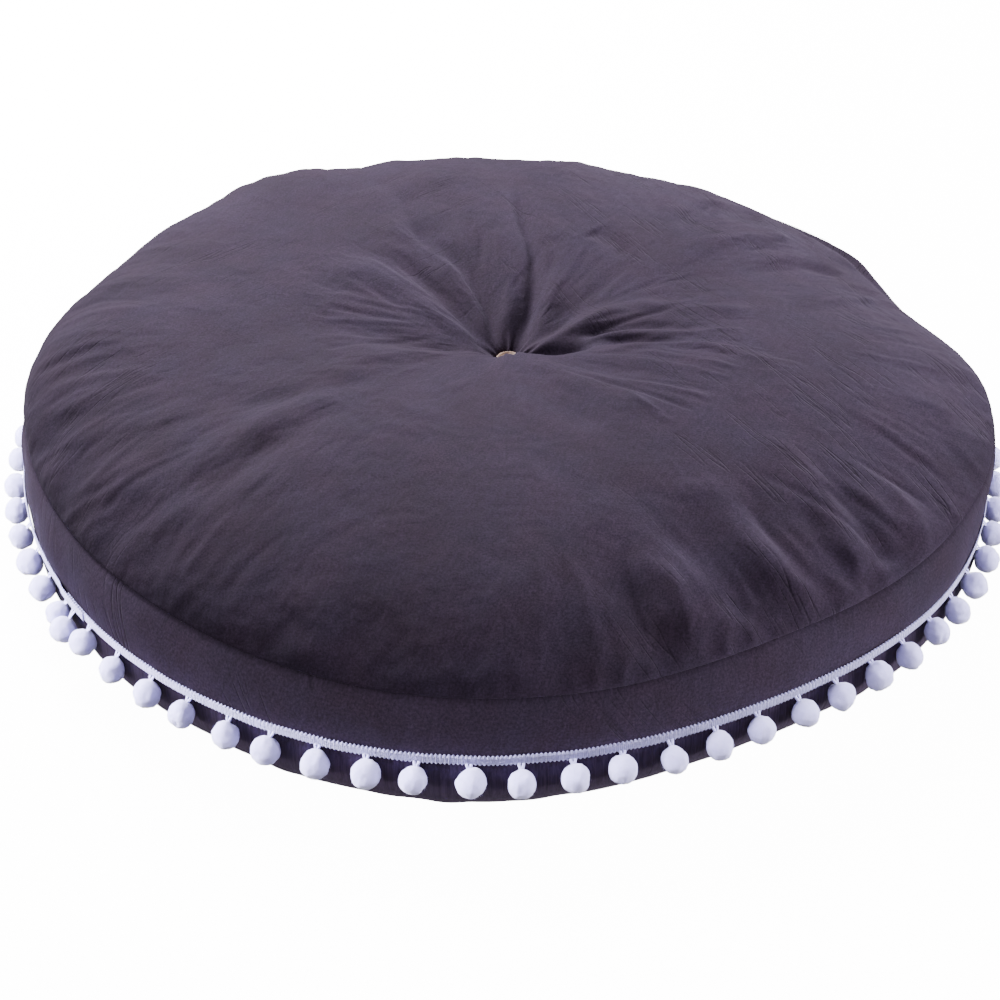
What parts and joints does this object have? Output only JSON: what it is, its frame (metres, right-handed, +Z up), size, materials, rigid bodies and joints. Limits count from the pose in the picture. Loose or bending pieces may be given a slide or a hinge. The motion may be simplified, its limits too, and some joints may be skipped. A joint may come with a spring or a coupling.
{
  "type": "floor cushion",
  "caption": "Round boxed floor cushion with a zipped cotton cover, a fibre-filled inner pad, a central button tuft and a pompom trim round its lower seam.",
  "frame": {"origin": "centre of the underside, on the floor", "axes": "+Z up through both buttons; -Y is the side seen in front; the zip is in the band at the back, towards +Y"},
  "size_m": [0.813, 0.813, 0.1458],
  "materials": {
    "cover_cotton": "washed, crinkled plain-weave cotton, matt",
    "pad_liner": "plain calico",
    "fibre_fill": "loose polyester fibre",
    "trim_yarn": "white cotton yarn, woven tape and cut-pile pompoms",
    "button_wood": "turned, lightly polished",
    "tufting_twine": "twisted twine",
    "zip_tape": "woven polyester tape",
    "zip_coil": "moulded nylon coil",
    "zip_metal": "gunmetal"
  },
  "bodies": {
    "cushion": {"cover_top_panel": "cover_cotton", "cover_bottom_panel": "cover_cotton", "side_band": "cover_cotton", "zip_band_upper": "cover_cotton", "zip_band_lower": "cover_cotton", "pad_liner_top": "pad_liner", "pad_liner_bottom": "pad_liner", "fibre_fill": "fibre_fill", "button_top": "button_wood", "button_bottom": "button_wood", "tufting_twine_front": "tufting_twine", "tufting_twine_back": "tufting_twine", "zip_tape_upper": "zip_tape", "zip_tape_lower": "zip_tape", "zip_coil_upper": "zip_coil", "zip_coil_lower": "zip_coil", "zip_stop_start": "zip_metal", "zip_stop_end": "zip_metal", "trim_tape": "trim_yarn", "pompoms_01": "trim_yarn", "pompoms_02": "trim_yarn", "pompoms_03": "trim_yarn", "pompoms_04": "trim_yarn", "pompoms_05": "trim_yarn", "pompoms_06": "trim_yarn", "pompoms_07": "trim_yarn", "pompoms_08": "trim_yarn", "pompoms_09": "trim_yarn", "pompoms_10": "trim_yarn", "pompoms_11": "trim_yarn", "pompoms_12": "trim_yarn"},
    "slider": {"zip_slider": "zip_metal"},
    "pull": {"zip_pull": "zip_metal"}
  },
  "joints": [
    {"name": "zip_run", "type": "hinge", "parent": "cushion", "child": "slider", "pos_m": [0, 0, 0.0734], "axis": [0, 0, 1], "range_deg": [-96.9, 0]},
    {"name": "pull_swing", "type": "hinge", "parent": "slider", "child": "pull", "pos_m": [-0.29209, 0.25873, 0.07341], "axis": [0.6631, 0.7485, 0], "range_deg": [0, 150]}
  ]
}
